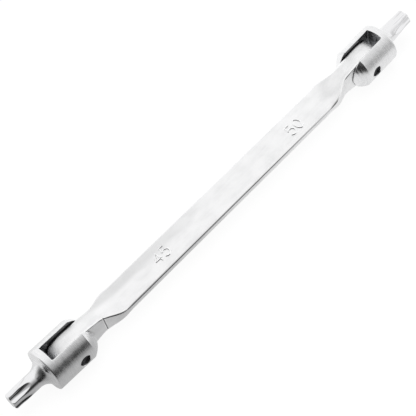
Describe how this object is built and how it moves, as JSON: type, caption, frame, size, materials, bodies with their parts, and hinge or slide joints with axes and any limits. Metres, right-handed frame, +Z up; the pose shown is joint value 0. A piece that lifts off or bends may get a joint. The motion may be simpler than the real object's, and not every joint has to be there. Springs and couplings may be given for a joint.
{
  "type": "double-ended swivel wrench",
  "caption": "Flat-bar hand wrench with a swivelling slotted head on a cross pin at each end, each head carrying a solid six-lobe drive bit.",
  "frame": {"origin": "under the middle of the tool's length and width, on the surface that the two heads lie on, tipped up by 3 degrees as they come to rest", "axes": "+X along the tool towards the size 50 end, +Y along the pivot pins, +Z up out of the bar's broad face"},
  "size_m": [0.2666, 0.0212, 0.0214],
  "materials": {
    "satin_chrome_bar": "satin chrome over forged steel",
    "satin_chrome_head": "satin chrome over turned steel",
    "dark_pin_steel": "black oxide",
    "ball_steel": "polished",
    "spring_steel": "drawn wire"
  },
  "bodies": {
    "handle": {"handle_bar": "satin_chrome_bar", "friction_ball_45_left": "ball_steel", "friction_ball_45_right": "ball_steel", "friction_ball_50_left": "ball_steel", "friction_ball_50_right": "ball_steel", "friction_spring_45": "spring_steel", "friction_spring_50": "spring_steel"},
    "head_45": {"swivel_head_45": "satin_chrome_head", "pivot_pin_45": "dark_pin_steel"},
    "head_50": {"swivel_head_50": "satin_chrome_head", "pivot_pin_50": "dark_pin_steel"}
  },
  "joints": [
    {"name": "swivel_45", "type": "hinge", "parent": "handle", "child": "head_45", "pos_m": [-0.099, 0, 0.01002], "axis": [0, 1, 0], "range_deg": [-113, 107]},
    {"name": "swivel_50", "type": "hinge", "parent": "handle", "child": "head_50", "pos_m": [0.099, 0, 0.01002], "axis": [0, -1, 0], "range_deg": [-113, 107]}
  ]
}
